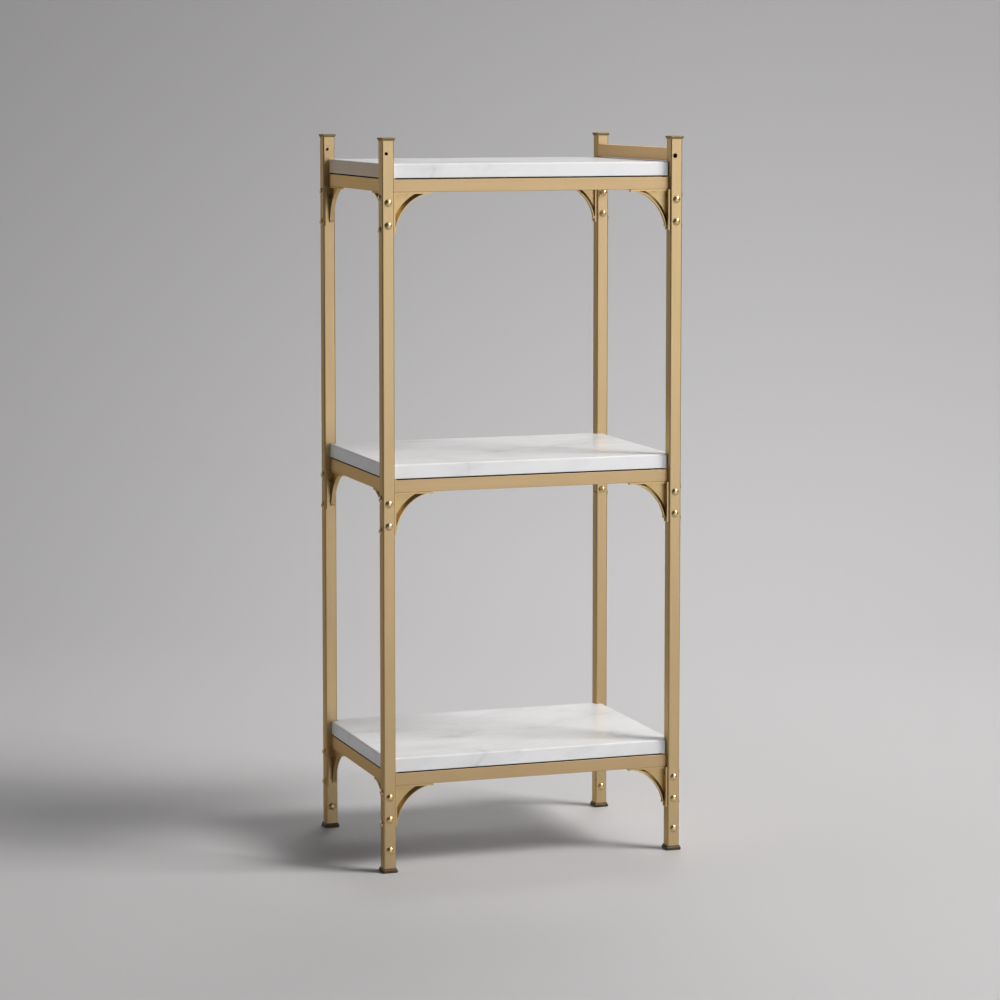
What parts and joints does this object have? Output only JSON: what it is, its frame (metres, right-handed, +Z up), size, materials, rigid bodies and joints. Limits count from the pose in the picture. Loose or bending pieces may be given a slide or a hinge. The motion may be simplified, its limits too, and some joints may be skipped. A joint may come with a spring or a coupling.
{
  "type": "shelving unit",
  "caption": "Open shelving unit with square tube posts, stone shelf slabs on bar aprons, arched corner brackets, domed bolts and a gallery rail at one end.",
  "frame": {"origin": "middle of the footprint between the four feet, on the surface the unit stands on", "axes": "+X to the right along the long side, towards the end with the gallery rail; +Y to the back; +Z up"},
  "size_m": [0.4568, 0.3248, 1.04],
  "materials": {
    "gold_metal": "satin gold coating, fine grain",
    "bolt_metal": "polished gold",
    "foot_metal": "dark bronze, satin",
    "stone": "polished white with soft grey veins",
    "rubber": "matte black",
    "screw_steel": "zinc plated"
  },
  "bodies": {
    "root": {"apron_screws": "screw_steel", "back_left_cap": "gold_metal", "back_left_foot": "foot_metal", "back_left_post": "gold_metal", "back_right_cap": "gold_metal", "back_right_foot": "foot_metal", "back_right_post": "gold_metal", "bottom_back_angle_at_left": "gold_metal", "bottom_back_angle_at_right": "gold_metal", "bottom_back_apron": "gold_metal", "bottom_front_apron": "gold_metal", "bottom_front_bracket_at_left": "gold_metal", "bottom_front_bracket_at_right": "gold_metal", "bottom_left_apron": "gold_metal", "bottom_left_bracket_at_back": "gold_metal", "bottom_left_bracket_at_front": "gold_metal", "bottom_right_angle_at_back": "gold_metal", "bottom_right_angle_at_front": "gold_metal", "bottom_right_apron": "gold_metal", "bottom_shelf_slab": "stone", "dome_nuts": "bolt_metal", "foot_bolts": "bolt_metal", "front_and_back_bolts": "bolt_metal", "front_left_cap": "gold_metal", "front_left_foot": "foot_metal", "front_left_post": "gold_metal", "front_right_cap": "gold_metal", "front_right_foot": "foot_metal", "front_right_post": "gold_metal", "gallery_rail": "gold_metal", "middle_back_angle_at_left": "gold_metal", "middle_back_angle_at_right": "gold_metal", "middle_back_apron": "gold_metal", "middle_front_apron": "gold_metal", "middle_front_bracket_at_left": "gold_metal", "middle_front_bracket_at_right": "gold_metal", "middle_left_apron": "gold_metal", "middle_left_bracket_at_back": "gold_metal", "middle_left_bracket_at_front": "gold_metal", "middle_right_angle_at_back": "gold_metal", "middle_right_angle_at_front": "gold_metal", "middle_right_apron": "gold_metal", "middle_shelf_slab": "stone", "rail_screws": "screw_steel", "shelf_pads": "rubber", "side_bolts": "bolt_metal", "top_back_angle_at_left": "gold_metal", "top_back_apron": "gold_metal", "top_back_bracket_at_right": "gold_metal", "top_front_apron": "gold_metal", "top_front_bracket_at_left": "gold_metal", "top_front_bracket_at_right": "gold_metal", "top_left_apron": "gold_metal", "top_left_bracket_at_back": "gold_metal", "top_left_bracket_at_front": "gold_metal", "top_right_angle_at_back": "gold_metal", "top_right_angle_at_front": "gold_metal", "top_right_apron": "gold_metal", "top_shelf_slab": "stone"}
  },
  "joints": []
}
